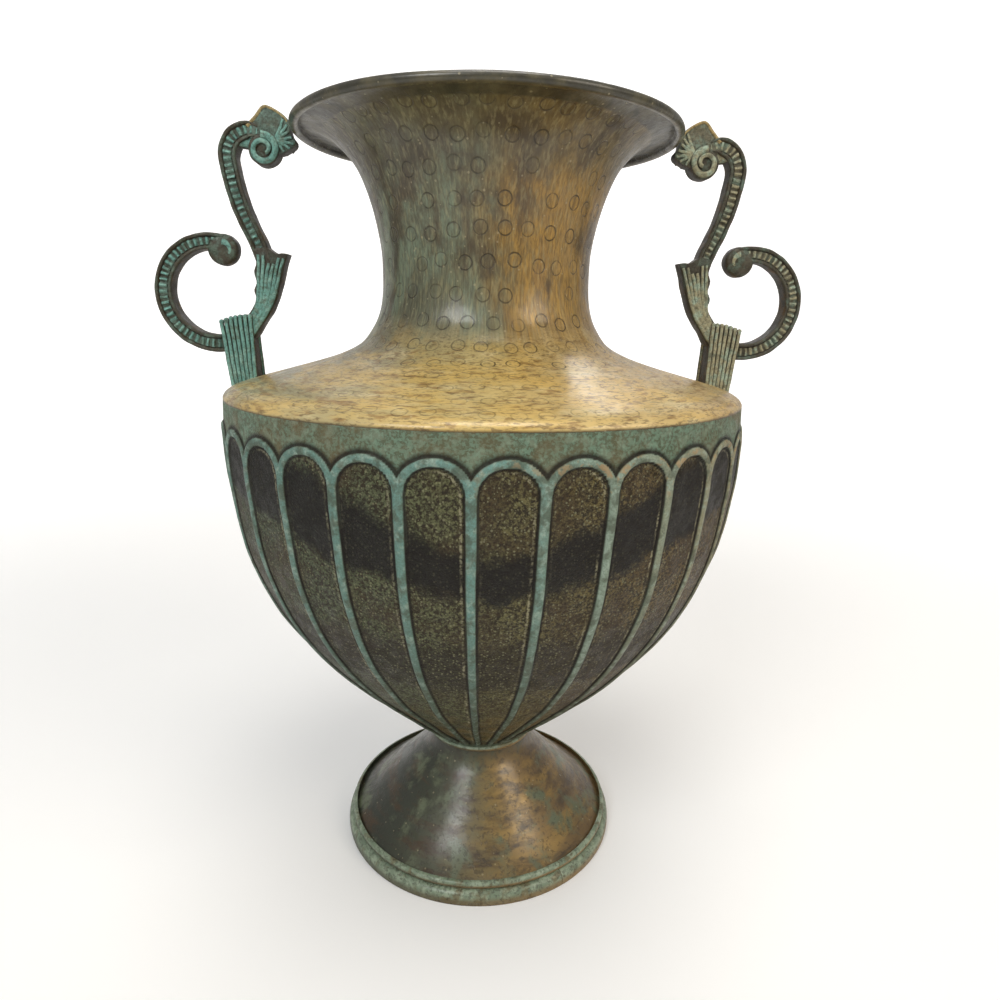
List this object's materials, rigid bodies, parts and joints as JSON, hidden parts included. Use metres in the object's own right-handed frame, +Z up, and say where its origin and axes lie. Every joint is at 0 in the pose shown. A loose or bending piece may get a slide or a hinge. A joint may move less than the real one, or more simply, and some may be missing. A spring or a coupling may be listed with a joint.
{
  "type": "urn vase",
  "caption": "Brass urn vase with a flared neck, arched flutes round the belly, a domed foot and cast scroll handles on the shoulder",
  "frame": {"origin": "centre of the flat ring that the foot's hem stands on", "axes": "Z up along the vase's axis, X through the two handles, Y towards the back"},
  "size_m": [0.3954, 0.3162, 0.468],
  "materials": {
    "lacquered_brass": "spun sheet, mottled umber, gold and grey-green patina under gloss lacquer, punched ring marks",
    "fluted_brass_patina": "chased flutes, near-black and brown stippled panels between pale turquoise ribs",
    "cast_brass_verdigris": "castings and strips, pale verdigris over dark grey-brown with rubbed brassy edges",
    "plain_brass": "dull unlacquered brass out of sight"
  },
  "bodies": {
    "root": {"neck_and_shoulder": "lacquered_brass", "rim_wire": "plain_brass", "fluted_belly": "fluted_brass_patina", "waist_collar": "plain_brass", "foot": "lacquered_brass", "foot_bead_ring": "cast_brass_verdigris", "foot_hem_ring": "cast_brass_verdigris", "foot_bolt": "plain_brass", "belly_washer": "plain_brass", "foot_washer": "plain_brass", "foot_nut": "plain_brass", "left_handle": "cast_brass_verdigris", "left_handle_screw": "plain_brass", "left_handle_washer": "plain_brass", "right_handle": "cast_brass_verdigris", "right_handle_screw": "plain_brass", "right_handle_washer": "plain_brass"}
  },
  "joints": []
}
